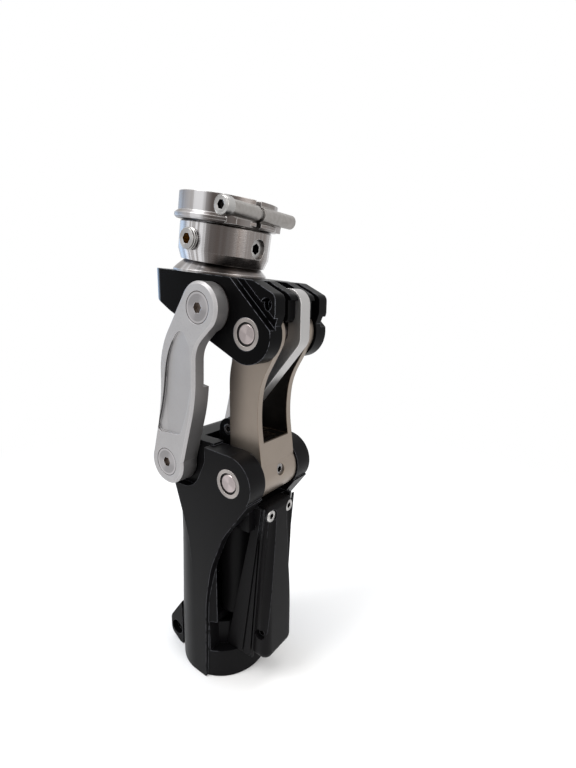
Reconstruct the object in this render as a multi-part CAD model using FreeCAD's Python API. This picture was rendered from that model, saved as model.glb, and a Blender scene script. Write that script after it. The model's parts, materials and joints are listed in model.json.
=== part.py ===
"""Four-bar hydraulic prosthetic knee, extended, with its socket receiver and tube clamp.

Millimetres, +Z up, +X to the rear (calf side), +Y to the wearer's far side.
The origin is the centre of the tube clamp's lower face.
"""
import FreeCAD
import Part
import math
import os

# Pivot centres in the side plane (x, z)
LOWER_AXLE = (24.0, 105.0)
UPPER_AXLE = (32.3, 167.2)
LINK_TOP = (14.0, 176.8)
LINK_FOOT = (-8.7, 108.4)
STRAP_TOP = (36.0, 178.6)
STRAP_FOOT = (10.0, 122.2)

# Half widths across the knee (y)
FRAME_HALF = 21.6
FRAME_FRONT_HALF = 17.6
HEAD_HALF = 19.4
REAR_LINK_HALF = 11.5
REAR_ARM = 3.0
STRAP_HALF = 3.2
FORK_HALF = 6.7
BLOCK_HALF = 11.2

# Clearances
SIDE_GAP = 0.3
RUN_GAP = 0.05
LOOSE_GAP = 0.4

# Cutting bodies reach this far past the part
BEYOND = 90.0

# Lower frame
TUBE_R = 15.0
CLAMP_THIN_WALL = 1.4
CLAMP_HEIGHT = 26.0
CLAMP_FLOOR = 4.0
CLAMP_OPEN_Z = 14.0
FRAME_WALL = 3.8
FRAME_FRONT_R = 18.2
FLATTEN_Z = (20.0, 70.0)
WALL_REAR_X = 8.8
EAR_R = 12.2
BOSS_R = 10.5
BOSS_BORE_R = 5.0
WELL_X = 0.2
WELL_Z = (84.0, 90.0)
SLIT = 2.4
LUG_X = -21.4
LUG_Z = 8.0
LUG_FRONT = -26.0
LUG_HALF = 15.0
LUG_SCREW_SINK = 2.6
BRIDGE_X = (21.0, 29.4)
BRIDGE_Z = (81.5, 91.2)

# Axles, bushes and bolts
AXLE_R = 4.0
BUSH_R = 6.25
BUSH_RECESS_R = 4.7
BUSH_RECESS = 1.0
STRAP_PIN_R = 2.5
BOLT_HEAD_R = 6.4
BOLT_R = 3.0
BOLT_RIM = 0.5
BOLT_HEX = 4.0
M5_R = 2.5
M4_R = 2.0
M4_HEAD_R = 3.5
M3_R = 1.5
M3_HEAD_R = 2.75
SET_SCREW_R = 4.0
SET_HEX = 4.0
SMALL_HEX = 2.5

# Front links
WASHER = 0.8
FOOT_WASHER = 0.6
LINK_EYE = 6.6
LINK_PLATE = 5.6
LINK_EYE_INNER = HEAD_HALF + WASHER
LINK_OUTER = LINK_EYE_INNER + LINK_EYE
LINK_PLATE_INNER = LINK_OUTER - LINK_PLATE
LINK_PAD_INNER = FRAME_FRONT_HALF + FOOT_WASHER
LINK_EYE_R = 10.2
LINK_BEVEL = 1.0
PAD_START = 32.8
LINK_BUSH_R = 5.6
LINK_BUSH = LINK_EYE - (BOLT_HEAD_R - BOLT_R) - BOLT_RIM - 2 * RUN_GAP
POCKET_DEPTH = 1.1

# Rear link
REAR_HUB_R = 11.4
REAR_CORE_R = 8.2
REAR_EYE_R = 10.8
REAR_BOSS_R = 7.2
REAR_BOSS_INNER = 4.0
WINDOW_Z = 121.3
LOCK_SCREW_UP = 2.2

# Connecting strap and hydraulic unit
STRAP_BAND = 6.0
STRAP_REAR_X = 46.4
STRAP_BEND_Z = 163.6
STRAP_EYE_R = 6.1
STRAP_FOOT_R = 5.6
FORK_R = 5.2
FORK_BASE = 7.7
FORK_FOOT = 3.2
PISTON_ROD_R = 3.0
CYL_R = 9.7
CYL_BORE_R = 7.2
CYL_Z = (30.3, 80.6)
PISTON = 8.0
PISTON_Z = 70.0
GLAND_TOP = 82.8
BLOCK_REAR_X = 36.0
BLOCK_Z = (14.6, 92.0)
BLOCK_FRONT_X = (11.9, 27.6)
BLOCK_EDGE_R = 4.0
FLUTE_R = 3.0
FLUTE_TOP = (37.4, 6.4, 84.0)
FLUTE_FOOT = (35.0, 11.6, 31.0)
BLOCK_SCREW_Y = 6.4
BLOCK_SCREW_Z = 87.6
BLOCK_SCREW_SINK = 3.6
BLOCK_PLATE = 1.0
BLOCK_PLATE_X = (34.8, 28.0)
BLOCK_SEAM_X = (33.4, 21.6)
SEAM = 0.8
VALVE_Z = 28.4
VALVE_X = 31.6
VALVE_INNER = 3.0
GLAND_THREAD = 6.0
THREAD = 0.8

# Head
HEAD_TILT = 6.3
HEAD_TOP = (0.0, 191.1)
HEAD_FRONT = -22.4
HEAD_CORNER_R = 5.0
CHIN = ((HEAD_FRONT, 181.6), (-11.8, 175.2))
HEAD_PLATE = 6.0
CHEEK_REAR_X = 45.2
CHEEK_EDGE = ((23.2, 189.6), (39.7, 173.3))
CHEEK_GROOVE = 3.6
CHEEK_PAD_SINK = 1.5
CHEEK_R = 11.8
FIN_HALF = 8.2
FIN_FRONT_X = 30.5
FIN_REAR_X = 43.8
CAVE_WALL = 6.8
CAVE_STEP = 8.5
PIN_ACCESS_R = 3.0
CHEEK_HOLE = (41.0, 178.4)
CHEEK_HOLE_R = 2.5
CHEEK_HOLE_DEPTH = 6.0

# Pyramid, receiver and socket clamp, measured along the tilted axis
DOME_R = 20.4
DOME_RIM = 0.9
DOME_SPHERE_R = 27.0
PYRAMID_NECK = 6.4
PYRAMID_TOP = 8.6
PYRAMID_Z = (8.5, 18.5)
PYRAMID_CROWN = 1.5
ADAPTER_TILT = 3.6
COLLAR_FOOT_R = 18.2
COLLAR_R = 19.6
COLLAR_Z = (4.8, 20.2)
COLLAR_CONE = 4.0
COLLAR_BORE_R = 14.2
NECK_R = 15.0
RING_R = 21.4
RING_Z = (20.6, 31.0)
RING_SLIT_Y = -4.4
COLLAR_SCREW = 11.4
BARREL_U = 20.6
BARREL_W = 26.2
BARREL_R = 2.9
BARREL_Y = (-21.0, 17.2)


def vec(x, y, z):
    return FreeCAD.Vector(x, y, z)


def block(x, y, z):
    """Box between two limits on each axis."""
    return Part.makeBox(x[1] - x[0], y[1] - y[0], z[1] - z[0], vec(x[0], y[0], z[0]))


def rod_y(centre, radius, y0, y1):
    """Cylinder along Y about a point of the side plane."""
    return Part.makeCylinder(radius, y1 - y0, vec(centre[0], y0, centre[1]), vec(0, 1, 0))


def rod_z(x, y, radius, z0, z1):
    return Part.makeCylinder(radius, z1 - z0, vec(x, y, z0), vec(0, 0, 1))


def rod_x(y, z, radius, x0, x1):
    return Part.makeCylinder(radius, x1 - x0, vec(x0, y, z), vec(1, 0, 0))


def mirrored(shape):
    return shape.mirror(vec(0, 0, 0), vec(0, 1, 0))


def both_sides(shape):
    return shape.fuse(mirrored(shape))


def joined(*shapes):
    """One solid from touching shapes, with seams between like faces removed."""
    first, rest = shapes[0], list(shapes[1:])
    return first.fuse(rest).removeSplitter() if rest else first


def corner_arc(before, corner, after, radius):
    """Start, middle and end of the arc that rounds one corner."""
    a = (before - corner).normalize()
    b = (after - corner).normalize()
    half = a.getAngle(b) / 2
    reach = radius / math.tan(half)
    centre = corner + (a + b).normalize() * (radius / math.sin(half))
    middle = centre + (corner - centre).normalize() * radius
    return corner + a * reach, middle, corner + b * reach


def rounded_wire(points):
    """Closed wire in the side plane through (x, z) or (x, z, radius) corners."""
    corners = [vec(p[0], 0, p[1]) for p in points]
    arcs = []
    for i, point in enumerate(points):
        radius = point[2] if len(point) > 2 else 0
        if radius:
            arcs.append(corner_arc(corners[i - 1], corners[i], corners[(i + 1) % len(points)], radius))
        else:
            arcs.append((corners[i],))
    edges = []
    for i, arc in enumerate(arcs):
        if len(arc) == 3:
            edges.append(Part.Arc(*arc).toShape())
        start, end = arc[-1], arcs[(i + 1) % len(arcs)][0]
        if (end - start).Length > 1e-6:
            edges.append(Part.LineSegment(start, end).toShape())
    return Part.Wire(edges)


def prism_y(points, y0, y1):
    """Side-plane outline extruded across the knee."""
    face = Part.Face(rounded_wire(points))
    face.translate(vec(0, y0, 0))
    return face.extrude(vec(0, y1 - y0, 0))


def rect_wire(x, y, z):
    corners = [vec(x[0], y[0], z), vec(x[1], y[0], z), vec(x[1], y[1], z), vec(x[0], y[1], z)]
    return Part.makePolygon(corners + [corners[0]])


def turned(points, axis_x=0.0, axis_y=0.0):
    """Solid of revolution about a vertical axis from (radius, z) corners."""
    corners = [vec(axis_x + r, axis_y, z) for r, z in points]
    face = Part.Face(Part.makePolygon(corners + [corners[0]]))
    return face.revolve(vec(axis_x, axis_y, 0), vec(0, 0, 1), 360)


def hex_socket(across_flats, depth, base, direction):
    """Six-sided prism sunk from a head's face against its direction."""
    radius = across_flats / math.sqrt(3)
    corners = [vec(radius * math.cos(k * math.pi / 3), radius * math.sin(k * math.pi / 3), 0)
               for k in range(7)]
    prism = Part.Face(Part.makePolygon(corners)).extrude(vec(0, 0, -depth))
    prism.Placement = FreeCAD.Placement(base, FreeCAD.Rotation(vec(0, 0, 1), direction))
    return prism


def cap_screw(seat, direction, radius, head_r, length):
    """Socket cap screw; seat is the centre of the head's underside."""
    unit = vec(*direction).normalize()
    head_height = 2 * radius
    chamfer = 0.12 * head_r
    head = Part.makeCylinder(head_r, head_height - chamfer, seat, unit)
    crown = Part.makeCone(head_r, head_r - chamfer, chamfer, seat + unit * (head_height - chamfer), unit)
    shank = Part.makeCylinder(radius, length, seat - unit * length, unit)
    screw = joined(head, crown, shank)
    return screw.cut(hex_socket(1.6 * radius, radius, seat + unit * head_height, unit))


def set_screw(tip, direction, radius, hex_size, length):
    """Headless screw with a cone point; tip is the point's end."""
    unit = vec(*direction).normalize()
    point = radius / 2
    cone = Part.makeCone(radius / 2, radius, point, tip, unit)
    body = Part.makeCylinder(radius, length - point, tip + unit * point, unit)
    return joined(cone, body).cut(hex_socket(hex_size, length / 3, tip + unit * length, unit))


def hull_side(centre_a, radius_a, centre_b, radius_b, side):
    """Tangent points of the straight edge that joins two eyes on one side."""
    a, b = vec(centre_a[0], centre_a[1], 0), vec(centre_b[0], centre_b[1], 0)
    along = b - a
    tilt = math.asin((radius_a - radius_b) / along.Length)
    turn = side * (math.pi / 2 - tilt)
    unit = along.normalize()
    normal = vec(unit.x * math.cos(turn) - unit.y * math.sin(turn),
                 unit.x * math.sin(turn) + unit.y * math.cos(turn), 0)
    start, end = a + normal * radius_a, b + normal * radius_b
    return (start.x, start.y), (end.x, end.y)


def frame_walls():
    """Side walls with their ears, and the concave sweep that opens the rear."""
    lx, lz = LOWER_AXLE
    sweep = [(0, 0), (WALL_REAR_X - 1.4, 0), (WALL_REAR_X, 42, 60), (12.2, 60, 40), (20.5, 79, 30),
             (lx + EAR_R * 0.86, lz - EAR_R * 0.62), (lx, lz), (lx + 0.6, lz + EAR_R),
             (LINK_FOOT[0], LINK_FOOT[1] + BOSS_R), (LINK_FOOT[0] - 0.6, LINK_FOOT[1] - EAR_R),
             (-1.8, 71, 30), (0, 56)]
    wall = prism_y(sweep, -FRAME_HALF, FRAME_HALF)
    ear = rod_y(LOWER_AXLE, EAR_R, -FRAME_HALF, FRAME_HALF)
    return wall.fuse(ear)


def front_half(front, half, z):
    """Half oval before the tube's axis, shorter to the front than to the sides, closed across it."""
    curve = Part.Ellipse(vec(0, half, z), vec(-front, 0, z), vec(0, 0, z))
    arc = Part.ArcOfEllipse(curve, 0, math.pi).toShape()
    chord = Part.LineSegment(vec(0, -half, z), vec(0, half, z)).toShape()
    return Part.Wire([arc, chord])


def flattened_column(half, front, z0, z1):
    """Round column whose front half flattens as it rises."""
    low, high = FLATTEN_Z
    levels = sorted({z0, max(z0, low), high, z1})
    wires = [front_half(half + (front - half) * min(max((z - low) / (high - low), 0), 1), half, z) for z in levels]
    column = rod_z(0, 0, half, z0, z1).common(block((0, BEYOND), (-BEYOND, BEYOND), (z0, z1)))
    return column.fuse([Part.makeLoft(list(pair), True, True) for pair in zip(wires, wires[1:])])


def frame_front():
    """Barrel that takes the front links, on a neck that flares from the round body."""
    bx, bz = LINK_FOOT
    barrel = rod_y(LINK_FOOT, BOSS_R, -FRAME_FRONT_HALF, FRAME_FRONT_HALF)
    neck = prism_y([(bx - BOSS_R * 0.98, bz - 2), (bx - 6.4, bz - 15, 14), (bx + 1.4, bz - 38), (12, bz - 38),
                    (12, bz + BOSS_R), (bx, bz + BOSS_R)], -FRAME_FRONT_HALF, FRAME_FRONT_HALF)
    return barrel.fuse(neck)


def link_recess():
    """Room beside the barrel for the foot of one front link and its swing."""
    bx, bz = LINK_FOOT
    room = LINK_EYE_R + 1.4
    outline = [(bx - 30, bz + 40), (bx - 30, bz - 3), (bx - room, bz - 4), (bx - room, bz - room, room * 0.95),
               (bx + room, bz - room, room * 0.95), (bx + room + 7.4, bz + 3, 6), (bx + room + 7.4, bz + 40)]
    return prism_y(outline, FRAME_FRONT_HALF, FRAME_HALF + 5)


def shank_frame():
    """Lower frame: tube clamp, open-backed body, barrel in front and ears behind."""
    top = LINK_FOOT[1] + BOSS_R
    body = flattened_column(FRAME_HALF, FRAME_FRONT_R, 0, 98)
    front_cut = prism_y([(-40, 80), (-FRAME_HALF, 80), (-12.5, 99), (30, 99), (30, 130), (-40, 130)],
                        -40, 40)
    body = body.cut(front_cut)
    shape = joined(body, frame_walls(), frame_front())
    shape = shape.cut(both_sides(link_recess()))
    inner = FRAME_HALF - FRAME_WALL
    ear_inner = REAR_LINK_HALF + LOOSE_GAP
    hollow_z = CLAMP_HEIGHT + CLAMP_FLOOR
    low, high = WELL_Z
    hollow = flattened_column(inner, FRAME_FRONT_R - FRAME_WALL, hollow_z, high)
    rear = block((0, BEYOND), (-inner, inner), (hollow_z, low))
    taper = Part.makeLoft([rect_wire((0, BEYOND), (-inner, inner), low),
                           rect_wire((0, BEYOND), (-ear_inner, ear_inner), high)], True)
    well = block((WELL_X, BEYOND), (-ear_inner, ear_inner), (low, top + EAR_R))
    shape = shape.cut(hollow).cut(rear).cut(taper).cut(well)
    below = block((WALL_REAR_X, BEYOND), (-BEYOND, BEYOND), (CLAMP_OPEN_Z, hollow_z))
    shape = shape.cut(below.cut(rod_z(0, 0, TUBE_R + CLAMP_THIN_WALL, 0, CLAMP_HEIGHT)))
    bridge = block(BRIDGE_X, (-ear_inner - 3, ear_inner + 3), BRIDGE_Z)
    lug = prism_y([(LUG_FRONT, LUG_Z + 5, 5), (LUG_FRONT, LUG_Z - 4, 5), (-TUBE_R - 4, 0), (-TUBE_R - 2, 0),
                   (-TUBE_R - 2, CLAMP_HEIGHT - 0.6)], -LUG_HALF, LUG_HALF)
    shape = joined(shape, bridge, lug)
    shape = shape.cut(rod_z(0, 0, TUBE_R, -1, CLAMP_HEIGHT))
    shape = shape.cut(block((-BEYOND, 0), (-SLIT / 2, SLIT / 2), (-1, CLAMP_HEIGHT)))
    seat_y = -LUG_HALF + LUG_SCREW_SINK + 2 * M4_R
    screw_hole = rod_y((LUG_X, LUG_Z), M4_R + RUN_GAP, -LUG_HALF - 1, LUG_HALF + 1)
    head_seat = rod_y((LUG_X, LUG_Z), M4_HEAD_R + LOOSE_GAP, -LUG_HALF - 1, seat_y)
    axle_seat = rod_y(LOWER_AXLE, BUSH_R + RUN_GAP / 2, -FRAME_HALF - 1, FRAME_HALF + 1)
    barrel_bore = rod_y(LINK_FOOT, BOSS_BORE_R, -FRAME_HALF - 1, FRAME_HALF + 1)
    shape = shape.cut([screw_hole, head_seat, axle_seat, barrel_bore])
    threads = [rod_x(side * BLOCK_SCREW_Y, BLOCK_SCREW_Z, M3_R + RUN_GAP, BRIDGE_X[0] + 1, BRIDGE_X[1] + 1)
               for side in (-1, 1)]
    return shape.cut(threads).removeSplitter()


def ear_bush(centre, inner_y, outer_y):
    """Bearing bush with a recess round the axle's end, on the +Y side."""
    bush = rod_y(centre, BUSH_R, inner_y, outer_y)
    bore = rod_y(centre, AXLE_R + RUN_GAP, inner_y - 1, outer_y + 1)
    recess = rod_y(centre, BUSH_RECESS_R, outer_y - BUSH_RECESS, outer_y + 1)
    return bush.cut(bore).cut(recess)


def axle(centre, half):
    """Plain steel axle with chamfered ends."""
    chamfer = 0.35
    middle = rod_y(centre, AXLE_R, -half + chamfer, half - chamfer)
    end = Part.makeCone(AXLE_R, AXLE_R - chamfer, chamfer, vec(centre[0], half - chamfer, centre[1]), vec(0, 1, 0))
    return joined(middle, end, mirrored(end))


def rear_link():
    """Forked link: two thin waisted arms on a hub, with bosses about the upper axle."""
    (lx, lz), (ux, uz) = LOWER_AXLE, UPPER_AXLE
    arm = prism_y([(lx - 8.0, lz), (lx - 8.0, lz + 55, 40), (ux - REAR_EYE_R + 0.6, uz - 1), (ux, uz),
                   (ux + REAR_EYE_R - 1.2, uz - 5), (lx + 9.0, lz + 42, 30), (lx + 7.0, lz + 28, 60),
                   (lx + REAR_HUB_R * 0.86, lz + REAR_HUB_R * 0.5)], -REAR_LINK_HALF, REAR_LINK_HALF)
    hub = rod_y(LOWER_AXLE, REAR_HUB_R, -REAR_LINK_HALF, REAR_LINK_HALF)
    eye = rod_y(UPPER_AXLE, REAR_EYE_R, -REAR_LINK_HALF, REAR_LINK_HALF)
    shape = joined(arm, hub, eye)
    inner = REAR_LINK_HALF - REAR_ARM
    window = block((0, BEYOND), (-inner, inner), (WINDOW_Z, uz + BEYOND))
    notch = block((0, lx - 2), (-FORK_HALF - 0.8, FORK_HALF + 0.8), (lz - 20, WINDOW_Z + 1))
    core = rod_y(LOWER_AXLE, REAR_CORE_R, -inner, inner)
    strap_way = prism_y([(0, lz - 20), (lx, lz - 20), (lx, lz + 7), (lx + 5.8, WINDOW_Z + 1), (0, WINDOW_Z + 1)],
                        -STRAP_HALF - LOOSE_GAP, STRAP_HALF + LOOSE_GAP)
    shape = shape.cut(window).cut(notch).fuse(core).cut(strap_way)
    boss = rod_y(UPPER_AXLE, REAR_BOSS_R, REAR_BOSS_INNER, inner)
    shape = joined(shape, boss, mirrored(boss))
    axle_bores = [rod_y(c, AXLE_R + RUN_GAP / 2, -BEYOND, BEYOND) for c in (LOWER_AXLE, UPPER_AXLE)]
    lock = rod_x(0, lz + LOCK_SCREW_UP, M5_R + RUN_GAP, lx, lx + BEYOND)
    return shape.cut(axle_bores).cut(lock).removeSplitter()


def link_outline():
    """Bowed body of the front link between its two eyes."""
    (ax, az), (bx, bz) = LINK_TOP, LINK_FOOT
    return [(ax - 8.6, az + 5.5), (ax - 24.8, az - 17.5, 34), (bx - 2.4, bz + 28, 90), (bx - LINK_EYE_R, bz + 1),
            (bx, bz), (bx + LINK_EYE_R + 0.2, bz + 2), (ax - 3.6, az - 38, 70), (ax - 2.8, az - 16, 12),
            (ax + 6.2, az - 8), (ax, az)]


def eased_outside(shape):
    """Bevel the link's outer edges where no eye covers them."""
    def bare(vertex):
        point = vertex.Point
        clear = min(math.hypot(point.x - c[0], point.z - c[1]) for c in (LINK_TOP, LINK_FOOT))
        return abs(point.y - LINK_OUTER) < RUN_GAP and clear > LINK_EYE_R - LINK_BEVEL / 2
    return shape.makeChamfer(LINK_BEVEL, [e for e in shape.Edges if all(bare(v) for v in e.Vertexes)])


def front_link():
    """Near-plate, thicker at the upper eye and at the foot, with a sunk panel outside."""
    (ax, az), (bx, bz) = LINK_TOP, LINK_FOOT
    plate = eased_outside(prism_y(link_outline(), LINK_PLATE_INNER, LINK_OUTER))
    top_eye = eased_outside(rod_y(LINK_TOP, LINK_EYE_R, LINK_EYE_INNER, LINK_OUTER))
    foot_eye = eased_outside(rod_y(LINK_FOOT, LINK_EYE_R, LINK_PAD_INNER, LINK_OUTER))
    pad = prism_y(link_outline(), LINK_PAD_INNER, LINK_PLATE_INNER)
    pad = pad.cut(rod_y(LINK_TOP, PAD_START, 0, LINK_OUTER))
    shape = joined(plate, top_eye, foot_eye, pad)
    rim = 3.0
    panel = prism_y([(ax - 10.0, az - 7.5, 3), (ax - 24.8 + rim + 1.2, az - 18.5, 30),
                     (bx - 2.2 + rim, bz + 28, 90), (bx - LINK_EYE_R + rim + 0.8, bz + 13.5, 2),
                     (bx + 9.8, bz + 14.5, 3), (ax - 4.4, az - 36, 70), (ax - 4.2, az - 17, 10)],
                    LINK_OUTER - POCKET_DEPTH, LINK_OUTER + 1)
    slope = Part.makeBox(60, 4 * POCKET_DEPTH, 120, vec(-22, 0, -60))
    lean = math.degrees(math.atan(POCKET_DEPTH / 17.0))
    slope.Placement = FreeCAD.Placement(vec(-8.2, LINK_OUTER - POCKET_DEPTH, bz + 34),
                                        FreeCAD.Rotation(vec(0, 0, 1), lean)).multiply(
        FreeCAD.Placement(vec(0, 0, 0), FreeCAD.Rotation(vec(0, 1, 0), -4)))
    shape = shape.cut(panel.common(slope))
    for centre, inner in ((LINK_TOP, LINK_EYE_INNER), (LINK_FOOT, LINK_PAD_INNER)):
        shape = shape.cut(countersunk_bolt(centre, inner - 1, RUN_GAP, False))
        shape = shape.cut(rod_y(centre, LINK_BUSH_R + RUN_GAP / 2, inner - 1, inner + LINK_BUSH))
    return shape.removeSplitter()


def countersunk_bolt(centre, inner_y, grow=0.0, socket=True):
    """Hex-socket countersunk bolt seated flush in the link's outer face."""
    outer = LINK_OUTER + (1 if grow else -RUN_GAP)
    cone = BOLT_HEAD_R - BOLT_R
    cone_y = LINK_OUTER - BOLT_RIM - cone
    head = rod_y(centre, BOLT_HEAD_R + grow, LINK_OUTER - BOLT_RIM, outer)
    taper = Part.makeCone(BOLT_R + grow, BOLT_HEAD_R + grow, cone, vec(centre[0], cone_y, centre[1]), vec(0, 1, 0))
    shank = rod_y(centre, BOLT_R + grow, inner_y, cone_y)
    bolt = joined(head, taper, shank)
    if socket:
        bolt = bolt.cut(hex_socket(BOLT_HEX, 2.4, vec(centre[0], outer, centre[1]), vec(0, 1, 0)))
    return bolt


def ring_y(centre, outer_r, inner_r, y0, y1):
    return rod_y(centre, outer_r, y0, y1).cut(rod_y(centre, inner_r, y0 - 1, y1 + 1))


def connecting_strap():
    """Flat hooked bar that passes behind the upper axle and down through the window."""
    (ex, ez), (fx, fz) = STRAP_TOP, STRAP_FOOT
    rear = STRAP_REAR_X
    front = rear - STRAP_BAND
    slope = vec(fx - rear, 0, fz - STRAP_BEND_Z - 1.5).normalize()
    side = vec(slope.z, 0, -slope.x)
    outer_end = vec(rear, 0, STRAP_BEND_Z) + slope * 54
    inner_end = outer_end + side * STRAP_BAND
    bend_rise = STRAP_BAND * math.tan(math.atan2(abs(slope.x), abs(slope.z)) / 2)
    band = prism_y([(ex, ez + STRAP_EYE_R), (rear, ez + STRAP_EYE_R, 6.4), (rear, STRAP_BEND_Z, 7),
                    (outer_end.x, outer_end.z), (inner_end.x, inner_end.z), (front, STRAP_BEND_Z + bend_rise, 4),
                    (front, ez - 3, 2), (ex, ez)], -STRAP_HALF, STRAP_HALF)
    eye = rod_y(STRAP_TOP, STRAP_EYE_R, -STRAP_HALF, STRAP_HALF)
    foot = rod_y(STRAP_FOOT, STRAP_FOOT_R, -STRAP_HALF, STRAP_HALF)
    shape = joined(band, eye, foot)
    return shape.cut([rod_y(c, STRAP_PIN_R + RUN_GAP, -10, 10) for c in (STRAP_TOP, STRAP_FOOT)])


def rod_fork():
    """Fork on the piston rod that takes the foot of the strap."""
    fx, fz = STRAP_FOOT
    foot = fz - FORK_BASE - FORK_FOOT
    cheeks = prism_y([(fx - FORK_R, foot, 1.5), (fx + FORK_R, foot, 1.5), (fx + FORK_R, fz), (fx - FORK_R, fz)],
                     -FORK_HALF, FORK_HALF)
    shape = joined(cheeks, rod_y(STRAP_FOOT, FORK_R, -FORK_HALF, FORK_HALF))
    slot = block((fx - 20, fx + 20), (-STRAP_HALF - SIDE_GAP, STRAP_HALF + SIDE_GAP), (fz - FORK_BASE, fz + 20))
    pin = rod_y(STRAP_FOOT, STRAP_PIN_R + RUN_GAP / 2, -20, 20)
    return shape.cut(slot).cut(pin)


def fork_screw():
    """Flush shoulder screw in one cheek of the fork, ending at the cheek's inner face."""
    screw = rod_y(STRAP_FOOT, STRAP_PIN_R, STRAP_HALF + SIDE_GAP, FORK_HALF)
    return screw.cut(hex_socket(2.5, 1.4, vec(STRAP_FOOT[0], FORK_HALF, STRAP_FOOT[1]), vec(0, 1, 0)))


def pin_y(centre, radius, half):
    chamfer = 0.3
    middle = rod_y(centre, radius, -half + chamfer, half - chamfer)
    end = Part.makeCone(radius, radius - chamfer, chamfer, vec(centre[0], half - chamfer, centre[1]), vec(0, 1, 0))
    return joined(middle, end, mirrored(end))


def side_line(rear_top, rear_foot):
    """Side outline of the valve block in front of one line from its top to its foot."""
    low, high = BLOCK_Z
    step = BRIDGE_Z[0] - SIDE_GAP
    behind = BRIDGE_X[1] + SIDE_GAP
    return [(rear_top, high), (behind, high), (behind, step), (BLOCK_FRONT_X[1], step), (BLOCK_FRONT_X[0], low),
            (rear_foot, low)]


def block_wedge():
    """Valve block behind the cylinder: a core with rounded corners between two leaning side plates."""
    low, high = BLOCK_Z
    rear = BLOCK_REAR_X
    core_half = BLOCK_HALF - BLOCK_PLATE
    outline = side_line(rear, rear)
    core = prism_y([(*outline[0], 2.5)] + outline[1:-1] + [(*outline[-1], 4)], -core_half, core_half)
    upright = [e for e in core.Edges if e.Length > (high - low) / 2
               and all(abs(v.Point.x - rear) < RUN_GAP for v in e.Vertexes)]
    core = core.makeFillet(BLOCK_EDGE_R, upright)
    plate = prism_y(side_line(*BLOCK_PLATE_X), core_half, BLOCK_HALF)
    wedge = joined(core, plate, mirrored(plate))
    return wedge.cut(rod_z(0, 0, TUBE_R + CLAMP_THIN_WALL + SIDE_GAP, 0, CLAMP_HEIGHT + SIDE_GAP))


def flute():
    """Shallow channel from one block screw down to the valve port below it, as a cutting body."""
    start, end = vec(*FLUTE_TOP), vec(*FLUTE_FOOT)
    channel = Part.makeCylinder(FLUTE_R, (end - start).Length, start, end - start)
    return channel.fuse([Part.makeSphere(FLUTE_R, start), Part.makeSphere(FLUTE_R, end)])


def leaning_groove(top_x, foot_x, y0, y1):
    """Narrow cut along one leaning line of the valve block's near-vertical sides."""
    low, high = BLOCK_Z
    return prism_y([(top_x, high), (top_x + SEAM, high), (foot_x + SEAM, low), (foot_x, low)], y0, y1)


def hydraulic_body():
    """Round cylinder in front and the valve block, with its flutes, screw seats and valve ports."""
    x0, rear = STRAP_FOOT[0], BLOCK_REAR_X
    shape = joined(rod_z(x0, 0, CYL_R, CYL_Z[0], CYL_Z[1]), block_wedge())
    seam = leaning_groove(*BLOCK_SEAM_X, BLOCK_HALF - SEAM, BEYOND)
    top_x, foot_x = BLOCK_PLATE_X
    gap = leaning_groove(top_x - 2 * SEAM, foot_x - 2 * SEAM, BLOCK_HALF - BLOCK_PLATE - SEAM, BEYOND)
    port = rod_y((VALVE_X, VALVE_Z), M5_R + RUN_GAP, VALVE_INNER, BLOCK_HALF + 1)
    cuts = [seam, mirrored(seam), gap, mirrored(gap), port, mirrored(port), flute(), mirrored(flute())]
    for side in (-1, 1):
        screw_y = side * BLOCK_SCREW_Y
        cuts.append(rod_x(screw_y, BLOCK_SCREW_Z, M3_HEAD_R + 0.2, rear - BLOCK_SCREW_SINK, rear + 2))
        cuts.append(rod_x(screw_y, BLOCK_SCREW_Z, M3_R + RUN_GAP, BRIDGE_X[1], rear))
    bore = rod_z(x0, 0, CYL_BORE_R, CYL_Z[0] + 3, CYL_Z[1] + 1)
    thread = rod_z(x0, 0, CYL_BORE_R + THREAD, CYL_Z[1] - GLAND_THREAD, CYL_Z[1] + 1)
    return shape.cut(cuts + [bore, thread]).removeSplitter()


def gland():
    """Threaded nut that closes the cylinder and guides the rod."""
    top, thread_z, thread_r = CYL_Z[1] + RUN_GAP / 2, CYL_Z[1] - GLAND_THREAD, CYL_BORE_R + THREAD - RUN_GAP
    outline = [(PISTON_ROD_R + RUN_GAP, thread_z), (thread_r, thread_z), (thread_r, top), (CYL_R - 0.4, top),
               (CYL_R - 0.4, GLAND_TOP - 0.5), (CYL_R - 0.9, GLAND_TOP), (PISTON_ROD_R + 1.6, GLAND_TOP),
               (PISTON_ROD_R + 1.6, GLAND_TOP - 1.4), (PISTON_ROD_R + RUN_GAP, GLAND_TOP - 1.4)]
    return turned(outline, STRAP_FOOT[0])


def head_top(x):
    """Height of the head's sloping top face at one distance from the tube's axis."""
    return HEAD_TOP[1] - (x - HEAD_TOP[0]) * math.tan(math.radians(HEAD_TILT))


def head_side():
    """Outline of the head's cheeks seen from the side."""
    ux, uz = UPPER_AXLE
    front = [(HEAD_FRONT, head_top(HEAD_FRONT), 1.2), (*CHIN[0], 7), (*CHIN[1], 4)]
    tangent = hull_side(CHIN[1], RUN_GAP, UPPER_AXLE, CHEEK_R, -1)[1]
    rear = [(CHEEK_REAR_X - 1.6, uz + 3.4), (CHEEK_REAR_X, uz + 7.6, 3), (CHEEK_REAR_X, uz + 14.6, 3),
            (CHEEK_REAR_X - 10.8, head_top(CHEEK_REAR_X - 10.8), 3)]
    return front + [tangent, (ux, uz), (ux + CHEEK_R * 0.9, uz)] + rear


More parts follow.
